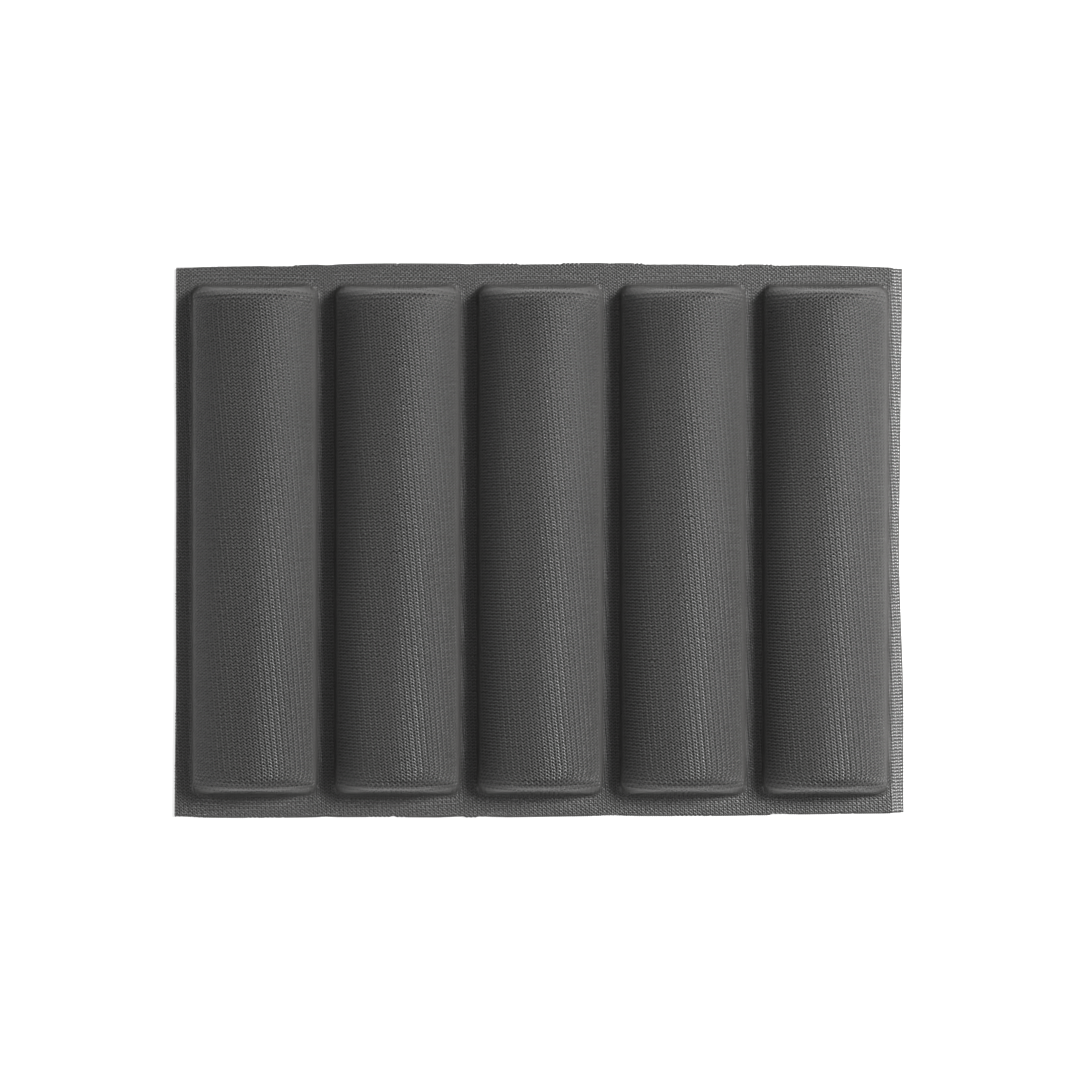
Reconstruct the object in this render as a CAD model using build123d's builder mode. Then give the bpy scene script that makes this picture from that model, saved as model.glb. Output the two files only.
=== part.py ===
from build123d import *
import math
import os

os.makedirs("parts", exist_ok=True)

# A mesh tray for five baguettes: one sheet of knitted glass fibre with a silicone coat on each
# face, moulded into parallel channels with a flat flange round them. It lies channels down in
# the oven and is modelled turned over, resting on its flange with the channels standing up.
# X runs across the channels, Y along them and Z up. The origin is the centre of the underside.

# Driving dimensions in millimetres
tray_length = 400.0
tray_width = 300.0
channel_count = 5
channel_pitch = 78.2
channel_width = 69.5
channel_length = 281.0
channel_height = 25.0
side_radius = 17.0
end_draft_degrees = 11.0
end_rounding = 7.0
foot_bend = 1.6
coat_thickness = 0.35
knit_thickness = 0.5
patch_border = 0.5

# The three layers of the sheet, each between two depths below its back face
sheet_thickness = 2 * coat_thickness + knit_thickness
layers = {
    "back_coat": (0.0, coat_thickness),
    "knit": (coat_thickness, coat_thickness + knit_thickness),
    "food_coat": (coat_thickness + knit_thickness, sheet_thickness),
}

# The sheet is divided by straight lines into one patch for each channel, the webs between the
# patches and the rim round them
patch_width = channel_width + 2 * (foot_bend + patch_border)
patch_length = channel_length + 2 * (foot_bend + patch_border)
web_width = channel_pitch - patch_width
field_length = channel_pitch * (channel_count - 1) + patch_width
side_rim = (tray_length - field_length) / 2
end_rim = (tray_width - patch_length) / 2
under_depth = 5.0
tolerance = 0.001


def channel_centre(number):
    """X of the centre of a channel, counted from 1 at the left."""
    return (number - 1 - (channel_count - 1) / 2) * channel_pitch


def loaf_form(depth):
    """Solid form under one channel's surface, taken this deep below the back face."""
    half_width = channel_width / 2 - depth
    top = channel_height - depth
    side = side_radius - depth
    side_centre = channel_width / 2 - side_radius
    # The crown's radius makes it tangent to both side arcs
    crown = (side_centre**2 + top**2 - side**2) / (2 * (top - side))
    lean = math.atan2(side_centre, crown - top)
    meet_x = crown * math.sin(lean)
    meet_z = top - crown + crown * math.cos(lean)
    mid_angle = (math.pi / 2 - lean) / 2
    mid_x = side_centre + side * math.cos(mid_angle)
    mid_z = side * math.sin(mid_angle)
    end_shift = depth / math.cos(math.radians(end_draft_degrees))
    with BuildPart() as form:
        with BuildSketch(Plane.XZ):
            with BuildLine():
                Line((-half_width, 0), (-half_width, -under_depth))
                Line((-half_width, -under_depth), (half_width, -under_depth))
                Line((half_width, -under_depth), (half_width, 0))
                ThreePointArc((half_width, 0), (mid_x, mid_z), (meet_x, meet_z))
                ThreePointArc((meet_x, meet_z), (0, top), (-meet_x, meet_z))
                ThreePointArc((-meet_x, meet_z), (-mid_x, mid_z), (-half_width, 0))
            make_face()
        extrude(amount=channel_length, both=True)
        for facing in (-1, 1):
            foot = (0, facing * (channel_length / 2 - end_shift), 0)
            slope = (0, facing, math.tan(math.radians(end_draft_degrees)))
            split(bisect_by=Plane(origin=foot, z_dir=slope), keep=Keep.BOTTOM)
        walls = form.faces().sort_by(Axis.Y)
        end_edges = walls[0].edges() + walls[-1].edges()
        rounded = end_edges.filter_by(lambda edge: edge.center().Z > -under_depth / 2 - tolerance)
        fillet(rounded, end_rounding - depth)
    return form.part


def patch_body(depth):
    """Block with one loaf form on it: all that lies deeper than this in a channel's patch."""
    surface = sheet_thickness - depth
    form = loaf_form(depth)
    with BuildPart() as body:
        with BuildSketch(Plane.XY.offset(-under_depth)):
            Rectangle(patch_width, patch_length)
        extrude(amount=under_depth + surface)
        add(form)
        foot_line = body.edges().filter_by(
            lambda edge: abs(edge.center().Z - surface) < tolerance
            and abs(edge.center().X) < channel_width / 2 + patch_border / 2
            and abs(edge.center().Y) < channel_length / 2 + patch_border / 2
        )
        fillet(foot_line, foot_bend + depth)
    return body.part


def write_piece(part, name):
    """Label one piece and write it as its own node."""
    part.label = name
    export_step(part, f"parts/{name}.step")


def write_channels(layer, upper, lower):
    """One layer of every channel: the body under its upper face less the body under its lower."""
    outer_body = patch_body(upper)
    inner_body = patch_body(lower)
    for number in range(1, channel_count + 1):
        with BuildPart() as channel:
            with Locations((channel_centre(number), 0, 0)):
                add(outer_body)
                add(inner_body, mode=Mode.SUBTRACT)
        write_piece(channel.part, f"{layer}_channel_{number}")


def write_strip(name, centre_x, centre_y, size_x, size_y, bottom, thickness):
    """One flat strip of a layer, in the flange or between two channels."""
    with BuildPart() as strip:
        with BuildSketch(Plane.XY.offset(bottom)):
            with Locations((centre_x, centre_y)):
                Rectangle(size_x, size_y)
        extrude(amount=thickness)
    write_piece(strip.part, name)


def write_flange(layer, upper, lower):
    """One layer of the flat flange: the rim's four strips and the webs between the channels."""
    bottom = sheet_thickness - lower
    thickness = lower - upper
    side_x = (tray_length - side_rim) / 2
    end_y = (tray_width - end_rim) / 2
    write_strip(f"{layer}_rim_left", -side_x, 0, side_rim, tray_width, bottom, thickness)
    write_strip(f"{layer}_rim_right", side_x, 0, side_rim, tray_width, bottom, thickness)
    write_strip(f"{layer}_rim_front", 0, -end_y, field_length, end_rim, bottom, thickness)
    write_strip(f"{layer}_rim_rear", 0, end_y, field_length, end_rim, bottom, thickness)
    for number in range(1, channel_count):
        web_x = channel_centre(number) + channel_pitch / 2
        write_strip(f"{layer}_web_{number}", web_x, 0, web_width, patch_length, bottom, thickness)


for layer, (upper, lower) in layers.items():
    write_channels(layer, upper, lower)
    write_flange(layer, upper, lower)
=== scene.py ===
import math

import bpy
import numpy as np
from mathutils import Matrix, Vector


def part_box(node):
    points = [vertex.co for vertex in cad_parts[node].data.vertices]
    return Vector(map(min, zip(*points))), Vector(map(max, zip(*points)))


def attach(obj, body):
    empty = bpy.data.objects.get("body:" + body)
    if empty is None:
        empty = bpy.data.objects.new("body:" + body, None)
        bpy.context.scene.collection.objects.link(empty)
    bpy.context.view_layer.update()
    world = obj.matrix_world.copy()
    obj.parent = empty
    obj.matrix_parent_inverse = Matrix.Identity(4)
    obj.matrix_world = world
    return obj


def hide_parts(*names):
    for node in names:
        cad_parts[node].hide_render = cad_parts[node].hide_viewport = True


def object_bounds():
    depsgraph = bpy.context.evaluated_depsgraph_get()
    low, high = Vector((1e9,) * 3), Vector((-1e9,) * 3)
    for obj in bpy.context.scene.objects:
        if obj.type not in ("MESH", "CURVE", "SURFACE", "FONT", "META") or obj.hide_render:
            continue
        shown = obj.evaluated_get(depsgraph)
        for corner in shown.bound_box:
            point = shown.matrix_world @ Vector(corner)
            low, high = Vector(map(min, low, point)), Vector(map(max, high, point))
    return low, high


# A mesh baguette tray, turned over on a white floor. The CAD layers are replaced by one net:
# courses of coated yarn, looped as in a jersey knit and laid over five loaf forms. Lengths here
# are in millimetres until a mesh is written.

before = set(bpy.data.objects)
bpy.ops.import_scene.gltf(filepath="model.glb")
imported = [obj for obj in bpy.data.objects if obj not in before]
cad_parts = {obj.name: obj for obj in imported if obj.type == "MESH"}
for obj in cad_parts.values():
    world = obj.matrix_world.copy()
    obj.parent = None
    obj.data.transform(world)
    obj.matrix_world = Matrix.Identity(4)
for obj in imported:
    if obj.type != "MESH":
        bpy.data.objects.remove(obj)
cad_low, cad_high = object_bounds()
METRE = 0.001
random = np.random.default_rng(7)

# ---- Sizes taken from the CAD nodes ----------------------------------------------------------

CHANNELS = 5


def node_box(name):
    """Lowest and highest corner of a CAD node, in millimetres."""
    low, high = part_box(name)
    return np.array(low) / METRE, np.array(high) / METRE


first_patch = node_box("back_coat_channel_1")
last_patch = node_box(f"back_coat_channel_{CHANNELS}")
half_length, half_width = (np.array(cad_high) / METRE)[:2]
sheet = node_box("back_coat_rim_left")[1][2]
patch_half_x = (first_patch[1][0] - first_patch[0][0]) / 2
patch_half_y = (first_patch[1][1] - first_patch[0][1]) / 2
pitch = (last_patch[0][0] - first_patch[0][0]) / (CHANNELS - 1)
crown_height = first_patch[1][2]

# ---- The moulded surface ---------------------------------------------------------------------

# Sizes that the nodes' boxes don't show, with the values that the CAD has
FOOT_BEND = 1.6
PATCH_BORDER = 0.5
SIDE_RADIUS = 17.0
END_DRAFT = math.radians(11.0)
END_ROUNDING = 7.0
MIDDLE = sheet / 2
HALVINGS = 22

foot_half = patch_half_x - FOOT_BEND - PATCH_BORDER
right_foot = pitch * (CHANNELS - 1) / 2 + foot_half
foot_end = patch_half_y - FOOT_BEND - PATCH_BORDER
mid_half = foot_half - MIDDLE
mid_top = crown_height - MIDDLE
mid_side = SIDE_RADIUS - MIDDLE
side_centre = foot_half - SIDE_RADIUS
mid_crown = (side_centre**2 + mid_top**2 - mid_side**2) / (2 * (mid_top - mid_side))
crown_centre = mid_top - mid_crown
lean = math.atan2(side_centre, -crown_centre)
mid_bend = FOOT_BEND + MIDDLE
mid_rounding = END_ROUNDING - MIDDLE


def channel_offset(x):
    """X measured from the centre of the nearest channel."""
    limit = (CHANNELS - 1) / 2
    nearest = np.clip(np.round(x / pitch), -limit, limit)
    return x - nearest * pitch


def arch_distance(x, z):
    """Distance outside the arch that a channel shows in cross-section."""
    across = np.abs(x)
    crown = np.hypot(across, z - crown_centre) - mid_crown
    side = np.hypot(across - side_centre, z) - mid_side
    wall = across - mid_half
    arch = np.where(np.arctan2(across, z - crown_centre) < lean, crown, side)
    return np.where(z < 0, wall, arch)


def surface_distance(x, y, z):
    """Distance above the middle of the moulded sheet, which has rounded corners and feet."""
    arch = arch_distance(channel_offset(x), z)
    end = (np.abs(y) - foot_end) * math.cos(END_DRAFT) + z * math.sin(END_DRAFT) + MIDDLE
    inside = np.minimum(np.maximum(arch, end), -mid_rounding)
    form = inside + np.hypot(np.maximum(arch + mid_rounding, 0), np.maximum(end + mid_rounding, 0))
    flange = z - MIDDLE
    near = np.hypot(np.maximum(mid_bend - form, 0), np.maximum(mid_bend - flange, 0))
    return np.maximum(mid_bend, np.minimum(form, flange)) - near


def surface_height(x, y):
    """Height of the sheet's middle over a point of the plan, found by halving."""
    low = np.full(np.shape(x), MIDDLE - 0.01)
    high = np.full(np.shape(x), mid_top + 0.5)
    for _ in range(HALVINGS):
        middle = (low + high) / 2
        above = surface_distance(x, y, middle) > 0
        high = np.where(above, middle, high)
        low = np.where(above, low, middle)
    return (low + high) / 2


def surface_normal(x, y, z):
    """Unit normal of the sheet at a point on it."""
    step = 0.05
    slope_x = surface_distance(x + step, y, z) - surface_distance(x - step, y, z)
    slope_y = surface_distance(x, y + step, z) - surface_distance(x, y - step, z)
    slope_z = surface_distance(x, y, z + step) - surface_distance(x, y, z - step)
    normal = np.stack([slope_x, slope_y, slope_z], -1)
    return normal / np.linalg.norm(normal, axis=-1, keepdims=True)


# ---- How the net lies on that surface --------------------------------------------------------

WALES_PER_PITCH = 33
COURSE_SPACING = 1.8
CROWN_DENSITY = 1.0
FLANK_DENSITY = 1.12
FLANGE_DENSITY = 1.4
FLANK_DEPTH = 2
TABLE_POINTS = 4001
WALE_SKEW = -0.07
END_BLEND = 16.0
PAST_END = 1.0
COURSE_SAG = 1.1
SAG_REACH = 60
ROW_DRIFT = (0.5, 63, 0.7)  # how far, over what length and from what phase, across the channels
SIDE_DRIFT = (0.25, 41)  # how far and over what length, along the channels
END_PULL = 0.55
END_REACH = 5.0
WALL_MIDDLE = 1.5
FADE_INSIDE = 3
FADE_OUTSIDE = 2


def wale_table():
    """Wale count against X over one pitch, closer together off the crown, where the mould
    stretched the net less."""
    x = np.linspace(-pitch / 2, pitch / 2, TABLE_POINTS)
    z = surface_height(x, np.zeros_like(x))
    run = np.hypot(np.diff(x), np.diff(z))
    across = np.abs((x[1:] + x[:-1]) / 2)
    density = np.interp(
        across,
        [side_centre, mid_half - FLANK_DEPTH, mid_half + mid_bend],
        [CROWN_DENSITY, FLANK_DENSITY, FLANGE_DENSITY],
    )
    count = np.concatenate([[0], np.cumsum(run * density)])
    return x, count / count[-1] * WALES_PER_PITCH


wale_x, wale_count = wale_table()


def smooth_step(value, start, end):
    """0 before start, 1 after end and smooth between."""
    t = np.clip((value - start) / (end - start), 0, 1)
    return t * t * (3 - 2 * t)


def plan_x(wale, y):
    """X of a wale, which drifts sideways along the channels because the net was laid askew."""
    wale = wale + WALE_SKEW * y / (pitch / WALES_PER_PITCH)
    whole = np.floor(wale / WALES_PER_PITCH + 0.5)
    rest = wale - whole * WALES_PER_PITCH + WALES_PER_PITCH / 2
    flat = wale * pitch / WALES_PER_PITCH
    moulded = whole * pitch + np.interp(rest, wale_count, wale_x)
    beside = np.abs(whole) > (CHANNELS - 1) / 2
    past_end = smooth_step(np.abs(y), foot_end - END_BLEND, foot_end + PAST_END)
    return np.where(beside, flat, moulded + (flat - moulded) * past_end)


def course_bow(x, y):
    """How far the courses are pulled along Y: they sag over each crown and drift down the tray."""
    across = channel_offset(x) / foot_half
    row, row_length, row_phase = ROW_DRIFT
    side, side_length = SIDE_DRIFT
    sag = -COURSE_SAG * across**2 * np.tanh(y / SAG_REACH)
    return sag + row * np.sin(x / row_length + row_phase) + side * np.sin(y / side_length)


def end_pull(x, y):
    """How far a course is drawn onto a form's end wall. Courses are spaced in plan, so few of
    them land on the steep walls, and the net stays far too open there."""
    past = np.abs(y) - (foot_end - WALL_MIDDLE)
    off_centre = np.abs(channel_offset(x))
    over_form = 1 - smooth_step(off_centre, foot_half - FADE_INSIDE, foot_half + FADE_OUTSIDE)
    return -np.sign(y) * END_PULL * past * np.exp(-((past / END_REACH) ** 2)) * over_form


# ---- The cut outline -------------------------------------------------------------------------

LEFT_TRIM = 0.7
LEFT_FLARE = 0.9
LEFT_FLARE_SPAN = (60, 120)
RIGHT_TRIM = 0.6
WAIST = 2.6
WAIST_Y = 10
WAIST_REACH = 75
RIGHT_TAPER = 1.0
RIGHT_TAPER_SPAN = (40, 140)
END_BULGE = 1.2
REAR_DROP = 2.4
REAR_POWER = 2.5
FRONT_TILT = 1.1
FRONT_BOW = 0.8
CUT_GRIP_X = 2.2
CUT_GRIP_Y = 1.0


def ripple(place, depth, length):
    """The slow unevenness of a cut made by hand."""
    return depth * np.sin(place / length)


def left_edge(y):
    """X of the left cut, which flares a little at the front."""
    flare = LEFT_FLARE * smooth_step(-y, *LEFT_FLARE_SPAN)
    return -half_length + LEFT_TRIM - flare + ripple(y, 0.25, 23)


def right_edge(y):
    """X of the right cut, which is waisted in the middle."""
    waist = WAIST * np.exp(-(((y - WAIST_Y) / WAIST_REACH) ** 2))
    taper = RIGHT_TAPER * smooth_step(y, *RIGHT_TAPER_SPAN)
    return half_length - RIGHT_TRIM - waist - taper + ripple(y, 0.2, 17)


def rear_edge(x):
    """Y of the rear cut, bowed out between its corners."""
    drop = REAR_DROP * np.abs(x / half_length) ** REAR_POWER
    return half_width + END_BULGE - drop + ripple(x, 0.2, 19)


def front_edge(x):
    """Y of the front cut, lower at its left."""
    along = x / half_length
    tilt = FRONT_TILT * along
    return -half_width - END_BULGE + tilt + FRONT_BOW * along**2 + ripple(x, 0.2, 21)


def inside_cut(x, y):
    """Whether a point of the plan is on the sheet, or so little past its cut that the last loop
    is gathered along the cut."""
    across = (x > left_edge(y) - CUT_GRIP_X) & (x < right_edge(y) + CUT_GRIP_X)
    return across & (y > front_edge(x) - CUT_GRIP_Y) & (y < rear_edge(x) + CUT_GRIP_Y)


# ---- Yarn ------------------------------------------------------------------------------------

# The path of a loop: swing in wales, reach in courses, rise in millimetres
LOOP_POINTS = 8
LOOP_SWING = 0.36
LEG_REACH = 0.33
HEAD_REACH = 0.55
LOOP_RISE = 0.3
SWING_JITTER = 0.018
REACH_JITTER = 0.035
WALES_BESIDE = 8
ROOM_BEYOND = 4

# The yarn's section, which is widest at the heads and feet of the loops
SIDES = 6
YARN_WIDTH = 0.68
YARN_THICKNESS = 0.6
YARN_SQUARENESS = 0.6
HEAD_SPREAD = 2.1
FULL_WALE = 3.2
NARROWEST = 0.92

# The right flange's net is more open than the rest
OPEN_RIGHT = 0.65
OPEN_SPAN = (0.5, 3)

# Where the mould pressed the net, by how far the sheet leans and how steeply a course climbs it
LEAN_SPAN = (0.35, 0.8)
CLIMB_SPAN = (1.02, 1.6)
LEAST_UP = 0.1
PRESSED_FLATNESS = 0.8
PRESSED_WIDENING = 0.9
PRESSED_THINNING = 0.25
WIDEST_CLIMB = 1.9

# Painted shade: how dark the loops' hidden parts are painted, which light alone wouldn't make them,
# less on the flange, and evenly on the pressed walls
HIDDEN_SPAN = (0.05, 0.5)
FLANGE_SPAN = (1.0, 3.0)
FLANGE_FILL = 0.25
PRESSED_SHADE = 0.42


def course_lines():
    """The centre line of every course's yarn, as rows of points with their plan place."""
    wales = CHANNELS * WALES_PER_PITCH / 2 + WALES_BESIDE
    steps = np.arange(0, int(2 * wales * LOOP_POINTS) + 1)
    wale = steps / LOOP_POINTS - wales
    rows = int(2 * (half_width + ROOM_BEYOND) / COURSE_SPACING)
    course = (np.arange(rows) - (rows - 1) / 2) * COURSE_SPACING
    wale, base_y = np.meshgrid(wale, course)
    phase = 2 * math.pi * wale
    jitter_a = random.normal(0, 1, wale.shape)
    jitter_b = random.normal(0, 1, wale.shape)
    kernel = np.hanning(2 * LOOP_POINTS + 1)
    kernel /= np.sqrt((kernel**2).sum())
    smooth_a = np.apply_along_axis(lambda row: np.convolve(row, kernel, "same"), 1, jitter_a)
    smooth_b = np.apply_along_axis(lambda row: np.convolve(row, kernel, "same"), 1, jitter_b)
    loop_wale = wale + LOOP_SWING * np.sin(2 * phase) + SWING_JITTER * smooth_a
    leg = LEG_REACH / math.cos(math.pi / 4)
    reach = (HEAD_REACH + leg) / 2 * np.cos(phase) + (HEAD_REACH - leg) / 2 * np.cos(3 * phase)
    loop_y = base_y + COURSE_SPACING * (reach + REACH_JITTER * smooth_b)
    x = plan_x(loop_wale, loop_y)
    y = loop_y + course_bow(x, loop_y) + end_pull(x, loop_y)
    plain_x = plan_x(wale, base_y)
    behind = np.cos(phase) ** 4
    return x, y, behind, plain_x, base_y


def zone_of(x, y):
    """The region of the moulding that each point belongs to, as an index into ZONES."""
    limit = (CHANNELS - 1) / 2
    nearest = np.clip(np.round(x / pitch), -limit, limit)
    in_patch = np.abs(x - nearest * pitch) < patch_half_x
    channel = (nearest + limit).astype(int)
    web = CHANNELS + np.clip(np.floor(x / pitch + limit).astype(int), 0, CHANNELS - 2)
    zone = np.where(in_patch, channel, web)
    field = limit * pitch + patch_half_x
    zone = np.where(np.abs(y) > patch_half_y, np.where(y < 0, FRONT, REAR), zone)
    return np.where(np.abs(x) > field, np.where(x < 0, LEFT, RIGHT), zone)


ZONES = [f"channel_{n + 1}" for n in range(CHANNELS)]
ZONES += [f"web_{n + 1}" for n in range(CHANNELS - 1)]
FRONT, REAR, LEFT, RIGHT = range(len(ZONES), len(ZONES) + 4)
ZONES += ["rim_front", "rim_rear", "rim_left", "rim_right"]


def yarn_rings(x, y, behind, size):
    """Rings of points round the yarn, flattened against the sheet, and the painted shade of each.
    On the steep walls the yarn is wider and nearly smooth."""
    z = surface_height(x, y)
    normal = surface_normal(x, y, z)
    climb = np.hypot(1, normal[..., 1:2] / np.maximum(normal[..., 2:3], LEAST_UP))
    leaning = smooth_step(1 - normal[..., 2:3], *LEAN_SPAN)
    pressed = np.maximum(leaning, smooth_step(climb, *CLIMB_SPAN))
    rise = LOOP_RISE * (1 - 2 * behind[..., None]) * (1 - PRESSED_FLATNESS * pressed)
    centre = np.stack([x, y, z], -1) + normal * rise
    along = np.gradient(centre, axis=1)
    along /= np.linalg.norm(along, axis=-1, keepdims=True) + 1e-9
    side = np.cross(along, normal)
    side /= np.linalg.norm(side, axis=-1, keepdims=True) + 1e-9
    up = np.cross(side, along)
    angles = np.arange(SIDES) * 2 * math.pi / SIDES
    out, over = (
        full / 2 * np.sign(turn) * np.abs(turn) ** YARN_SQUARENESS
        for full, turn in ((YARN_WIDTH, np.cos(angles)), (YARN_THICKNESS, np.sin(angles)))
    )
    open_from, open_to = OPEN_SPAN
    open_net = smooth_step(x, right_foot + open_from, right_foot + open_to)[..., None]
    spread = HEAD_SPREAD * (1 - OPEN_RIGHT * open_net) * behind[..., None] ** 2
    widened = np.maximum(1 + PRESSED_WIDENING * pressed, np.minimum(climb, WIDEST_CLIMB))
    wide = size[..., None] * (1 + spread) * widened
    thin = 1 - PRESSED_THINNING * pressed
    rings = [centre + side * a * wide + up * b * thin for a, b in zip(out, over)]
    # Painted shade: the loops' hidden heads and feet are painted darker, less so on the flange, and
    # the pressed walls get an even painted shade.
    on_flange = 1 - smooth_step(z, *FLANGE_SPAN)
    hidden_shade = smooth_step(behind, *HIDDEN_SPAN) * (1 - FLANGE_FILL * on_flange)
    depth = hidden_shade + (PRESSED_SHADE - hidden_shade) * pressed[..., 0]
    return np.stack(rings, axis=2), depth


def runs_of(mask):
    """(row, first, last) of every unbroken run of True in each row."""
    padded = np.zeros((mask.shape[0], mask.shape[1] + 2), dtype=np.int8)
    padded[:, 1:-1] = mask
    change = np.diff(padded, axis=1)
    starts = np.argwhere(change == 1)
    ends = np.argwhere(change == -1)
    return [(r, a, b) for (r, a), (_, b) in zip(starts, ends)]


def lay_out_map(mesh, vertices, quads, tops):
    """A plan map of the piece with its under side laid beside its upper side."""
    low, high = vertices[:, :2].min(0), vertices[:, :2].max(0)
    size = high - low
    shift = np.where(size == size.min(), size * 1.04, 0)
    span = max(size.max(), (size + shift).max()) * 1.01
    place = (vertices[quads][:, :, :2] - low + np.where(tops[:, None, None], 0, shift)) / span
    layer = mesh.uv_layers.new(name="OFBake")
    layer.data.foreach_set("uv", place.astype(np.float32).ravel())


def build_piece(name, rings, depth, mask):
    """One mesh of all the yarn whose segments are marked, each run a closed tube."""
    points, faces, upper, painted_shades = [], [], [], []
    base = 0
    ring = np.arange(SIDES)
    after = (ring + 1) % SIDES
    half = SIDES // 2
    for row, first, last in runs_of(mask):
        tube = rings[row, first : last + 1]
        count = len(tube)
        if count < 3:
            continue
        points.append(tube.reshape(-1, 3))
        painted_shades.append(np.repeat(depth[row, first : last + 1], SIDES))
        near = base + (np.arange(count - 1) * SIDES)[:, None]
        quads = np.stack([near + ring, near + after, near + SIDES + after, near + SIDES + ring], -1)
        faces.append(quads.reshape(-1, 4))
        upper.append(np.tile(ring < half, count - 1))
        for start in (0, (count - 1) * SIDES):
            corner = base + start
            cap = corner + np.array([[0, 1, 2, 3], [3, 4, 5, 0]])
            faces.append(cap[:, :: -1 if start == 0 else 1])
            upper.append(np.array([True, False]))
        base += count * SIDES
    vertices = np.concatenate(points).astype(np.float32) * METRE
    quads = np.concatenate(faces).astype(np.int32)
    tops = np.concatenate(upper)
    mesh = bpy.data.meshes.new(name)
    mesh.vertices.add(len(vertices))
    mesh.vertices.foreach_set("co", vertices.ravel())
    mesh.loops.add(quads.size)
    mesh.loops.foreach_set("vertex_index", quads.ravel())
    mesh.polygons.add(len(quads))
    mesh.polygons.foreach_set("loop_start", np.arange(0, quads.size, 4, dtype=np.int32))
    mesh.polygons.foreach_set("use_smooth", np.ones(len(quads), dtype=bool))
    mesh.update(calc_edges=True)
    # Each point's painted shade, which the material turns into darker colour and a lower specular
    # level.
    painted_shade = mesh.attributes.new("painted_shade", "FLOAT", "POINT")
    painted_shade.data.foreach_set("value", np.concatenate(painted_shades).astype(np.float32))
    lay_out_map(mesh, vertices, quads, tops)
    piece = bpy.data.objects.new(name, mesh)
    bpy.context.scene.collection.objects.link(piece)
    return piece


# ---- Materials -------------------------------------------------------------------------------

DARK_TONE = (0.100, 0.0982, 0.0960, 1)
LIGHT_TONE = (0.175, 0.1718, 0.1682, 1)
TOP_SPECULAR = 0.9
ROUGHNESS = (0.20, 0.46)
SILICONE_IOR = 1.6
CLOUD_SCALE = 18
GRAIN_SCALE = 900
FLOOR_GLOW = 0.62
FLOOR_COLOUR = (0.8, 0.8, 0.8, 1)


def silicone():
    """Charcoal silicone on yarn: satin, with faint differences of tone and gloss. Colour and
    specular level fall to nothing in the loops' hidden parts, which is painted shade."""
    material = bpy.data.materials.new("charcoal_silicone")
    material.use_nodes = True
    nodes, links = material.node_tree.nodes, material.node_tree.links
    shader = nodes["Principled BSDF"]
    place = nodes.new("ShaderNodeNewGeometry")
    cloud = nodes.new("ShaderNodeTexNoise")
    cloud.inputs["Scale"].default_value = CLOUD_SCALE
    cloud.inputs["Detail"].default_value = 3
    grain = nodes.new("ShaderNodeTexNoise")
    grain.inputs["Scale"].default_value = GRAIN_SCALE
    grain.inputs["Detail"].default_value = 2
    tone = nodes.new("ShaderNodeMix")
    tone.data_type = "RGBA"
    tone.inputs["A"].default_value = DARK_TONE
    tone.inputs["B"].default_value = LIGHT_TONE
    # The painted shade darkens the base colour and lowers the specular level to nothing.
    painted_shade = nodes.new("ShaderNodeAttribute")
    painted_shade.attribute_name = "painted_shade"
    darker = nodes.new("ShaderNodeMapRange")
    darker.inputs["To Min"].default_value = 1.0
    darker.inputs["To Max"].default_value = 0.0
    shaded_specular = nodes.new("ShaderNodeMapRange")
    shaded_specular.inputs["To Min"].default_value = TOP_SPECULAR
    shaded_specular.inputs["To Max"].default_value = 0.0
    shaded = nodes.new("ShaderNodeVectorMath")
    shaded.operation = "SCALE"
    mean = nodes.new("ShaderNodeMath")
    mean.operation = "MULTIPLY_ADD"
    mean.inputs[1].default_value = 0.5
    half = nodes.new("ShaderNodeMath")
    half.operation = "MULTIPLY"
    half.inputs[1].default_value = 0.5
    rough = nodes.new("ShaderNodeMapRange")
    rough.inputs["To Min"].default_value = ROUGHNESS[0]
    rough.inputs["To Max"].default_value = ROUGHNESS[1]
    links.new(place.outputs["Position"], cloud.inputs["Vector"])
    links.new(place.outputs["Position"], grain.inputs["Vector"])
    links.new(cloud.outputs["Fac"], half.inputs[0])
    links.new(grain.outputs["Fac"], mean.inputs[0])
    links.new(half.outputs["Value"], mean.inputs[2])
    links.new(mean.outputs["Value"], tone.inputs["Factor"])
    links.new(painted_shade.outputs["Fac"], darker.inputs["Value"])
    links.new(tone.outputs["Result"], shaded.inputs["Vector"])
    links.new(darker.outputs["Result"], shaded.inputs["Scale"])
    links.new(shaded.outputs["Vector"], shader.inputs["Base Color"])
    links.new(painted_shade.outputs["Fac"], shaded_specular.inputs["Value"])
    links.new(shaded_specular.outputs["Result"], shader.inputs["Specular IOR Level"])
    links.new(grain.outputs["Fac"], rough.inputs["Value"])
    links.new(rough.outputs["Result"], shader.inputs["Roughness"])
    shader.inputs["IOR"].default_value = SILICONE_IOR
    return material


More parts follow.
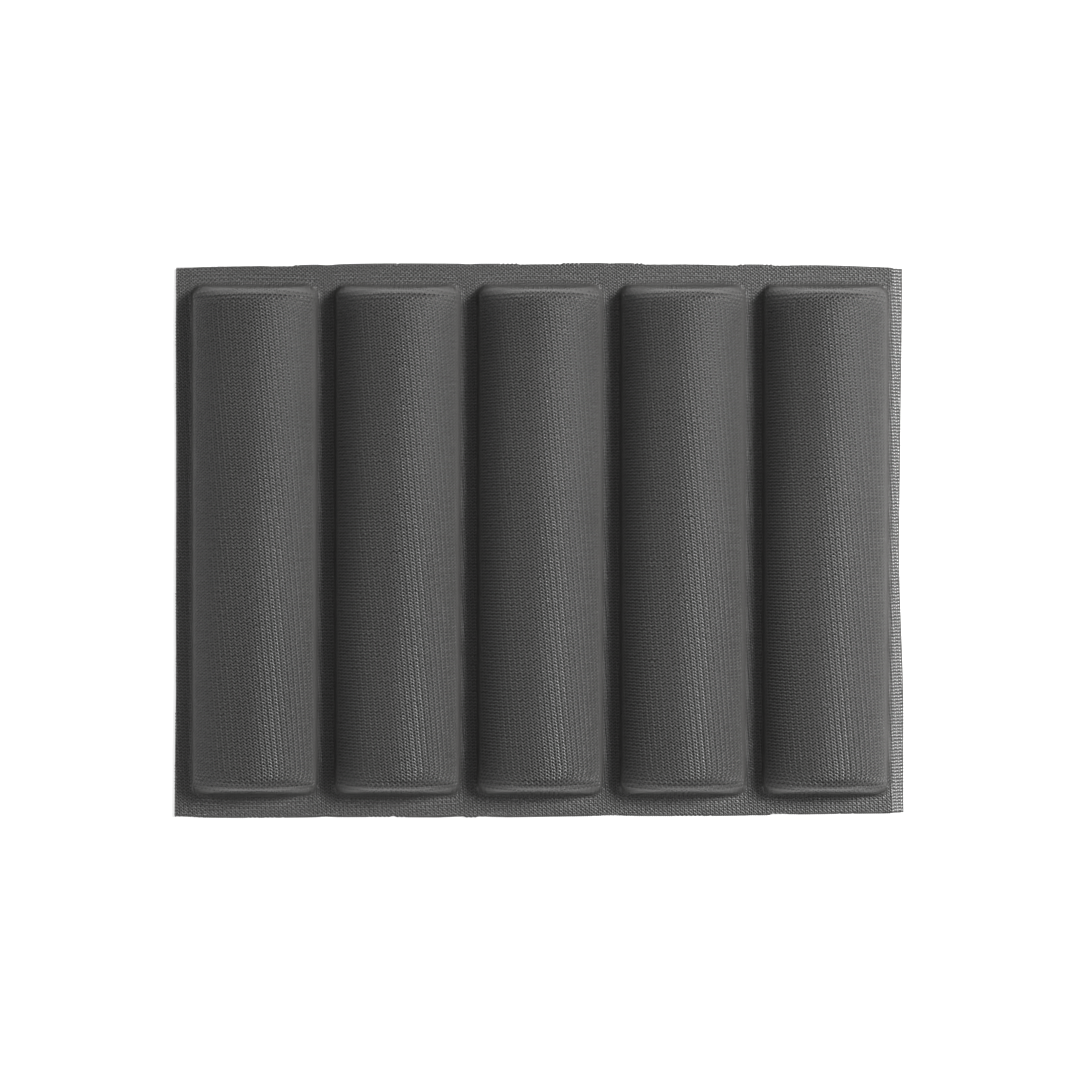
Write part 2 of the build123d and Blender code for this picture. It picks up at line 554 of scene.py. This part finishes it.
def white_floor():
    """White to the camera, with the tray's soft shadow kept. The white is left out under the
    tray, except under its right flange, so that only that flange shows it through the net."""
    material = bpy.data.materials.new("white_floor")
    material.use_nodes = True
    nodes, links = material.node_tree.nodes, material.node_tree.links
    nodes.remove(nodes["Principled BSDF"])
    output = nodes["Material Output"]
    path = nodes.new("ShaderNodeLightPath")
    seen = nodes.new("ShaderNodeMath")
    seen.operation = "MAXIMUM"
    glow = nodes.new("ShaderNodeEmission")
    glow.inputs["Strength"].default_value = FLOOR_GLOW
    paint = nodes.new("ShaderNodeBsdfDiffuse")
    paint.inputs["Color"].default_value = FLOOR_COLOUR
    both = nodes.new("ShaderNodeAddShader")
    pick = nodes.new("ShaderNodeMixShader")
    place = nodes.new("ShaderNodeNewGeometry")
    shade_low = Vector((-half_length, -half_width, -1)) * METRE
    shade_high = Vector((patch_half_x + pitch * (CHANNELS - 1) / 2, half_width, 1)) * METRE
    from_middle = nodes.new("ShaderNodeVectorMath")
    from_middle.operation = "SUBTRACT"
    from_middle.inputs[1].default_value = (shade_low + shade_high) / 2
    reach = nodes.new("ShaderNodeVectorMath")
    reach.operation = "ABSOLUTE"
    past = nodes.new("ShaderNodeVectorMath")
    past.operation = "SUBTRACT"
    past.inputs[1].default_value = (shade_high - shade_low) / 2
    parts = nodes.new("ShaderNodeSeparateXYZ")
    furthest = nodes.new("ShaderNodeMath")
    furthest.operation = "MAXIMUM"
    beside = nodes.new("ShaderNodeMath")
    beside.operation = "GREATER_THAN"
    beside.inputs[1].default_value = 0
    shown = nodes.new("ShaderNodeMath")
    shown.operation = "MULTIPLY"
    links.new(place.outputs["Position"], from_middle.inputs[0])
    links.new(from_middle.outputs["Vector"], reach.inputs[0])
    links.new(reach.outputs["Vector"], past.inputs[0])
    links.new(past.outputs["Vector"], parts.inputs["Vector"])
    links.new(parts.outputs["X"], furthest.inputs[0])
    links.new(parts.outputs["Y"], furthest.inputs[1])
    links.new(furthest.outputs["Value"], beside.inputs[0])
    links.new(seen.outputs["Value"], shown.inputs[0])
    links.new(beside.outputs["Value"], shown.inputs[1])
    links.new(path.outputs["Is Camera Ray"], seen.inputs[0])
    links.new(path.outputs["Is Glossy Ray"], seen.inputs[1])
    links.new(glow.outputs["Emission"], both.inputs[0])
    links.new(paint.outputs["BSDF"], both.inputs[1])
    links.new(shown.outputs["Value"], pick.inputs["Fac"])
    links.new(paint.outputs["BSDF"], pick.inputs[1])
    links.new(both.outputs["Shader"], pick.inputs[2])
    links.new(pick.outputs["Shader"], output.inputs["Surface"])
    return material


# ---- Making the tray -------------------------------------------------------------------------


def make_tray():
    """Builds the net zone by zone, each piece in place of its three CAD layers."""
    x, y, behind, plain_x, plain_y = course_lines()
    kept = inside_cut(x, y)
    x = np.clip(x, left_edge(y), right_edge(y))
    y = np.clip(y, front_edge(x), rear_edge(x))
    wale_width = np.gradient(plain_x, axis=1) * LOOP_POINTS
    # depth holds the painted shade of every point.
    rings, depth = yarn_rings(x, y, behind, np.clip(wale_width / FULL_WALE, NARROWEST, 1))
    segment_kept = kept[:, 1:] & kept[:, :-1]
    zone = zone_of(plain_x, plain_y)[:, :-1]
    coating = silicone()
    for index, word in enumerate(ZONES):
        piece = build_piece(f"net_{word}", rings, depth, segment_kept & (zone == index))
        piece.data.materials.append(coating)
        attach(piece, "root")
        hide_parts(f"back_coat_{word}", f"knit_{word}", f"food_coat_{word}")


# ---- Stage -----------------------------------------------------------------------------------


def make_floor():
    """A large pale floor under the tray."""
    mesh = bpy.data.meshes.new("floor")
    reach = 6.0
    below = 0.0005
    corners = [(-reach, -reach, 0), (reach, -reach, 0), (reach, reach, 0), (-reach, reach, 0)]
    mesh.from_pydata(corners, [], [(0, 1, 2, 3)])
    floor = bpy.data.objects.new("floor", mesh)
    floor.location.z = -below
    mesh.materials.append(white_floor())
    bpy.context.scene.collection.objects.link(floor)


def make_light(name, place, size, power):
    """A soft square lamp that faces the tray."""
    lamp = bpy.data.lights.new(name, "AREA")
    lamp.shape = "SQUARE"
    lamp.size = size
    lamp.energy = power
    light = bpy.data.objects.new(name, lamp)
    light.location = place
    light.rotation_euler = (-Vector(place)).to_track_quat("-Z", "Y").to_euler()
    bpy.context.scene.collection.objects.link(light)


def make_world(strength):
    """Even white surroundings."""
    world = bpy.data.worlds.new("studio")
    world.use_nodes = True
    nodes, links = world.node_tree.nodes, world.node_tree.links
    background = nodes["Background"]
    background.inputs["Color"].default_value = (1, 1, 1, 1)
    path = nodes.new("ShaderNodeLightPath")
    level = nodes.new("ShaderNodeMapRange")
    level.inputs["To Min"].default_value = strength
    level.inputs["To Max"].default_value = 1.0
    links.new(path.outputs["Is Camera Ray"], level.inputs["Value"])
    links.new(level.outputs["Result"], background.inputs["Strength"])
    bpy.context.scene.world = world


def make_camera():
    """Straight above the tray, far enough for little perspective."""
    view_width = 0.593
    distance = 1.7
    camera_data = bpy.data.cameras.new("camera")
    camera_data.sensor_width = 36
    camera_data.lens = camera_data.sensor_width * distance / view_width
    camera = bpy.data.objects.new("camera", camera_data)
    camera.location = (0, 0, distance)
    bpy.context.scene.collection.objects.link(camera)
    bpy.context.scene.camera = camera


make_tray()
make_floor()
make_light("key", (1.5, 0.5, 1.25), 0.6, 54)
make_light("fill", (-1.6, -0.6, 0.35), 1.0, 7)
make_world(0.3)
make_camera()
bpy.context.scene.view_settings.view_transform = "Standard"
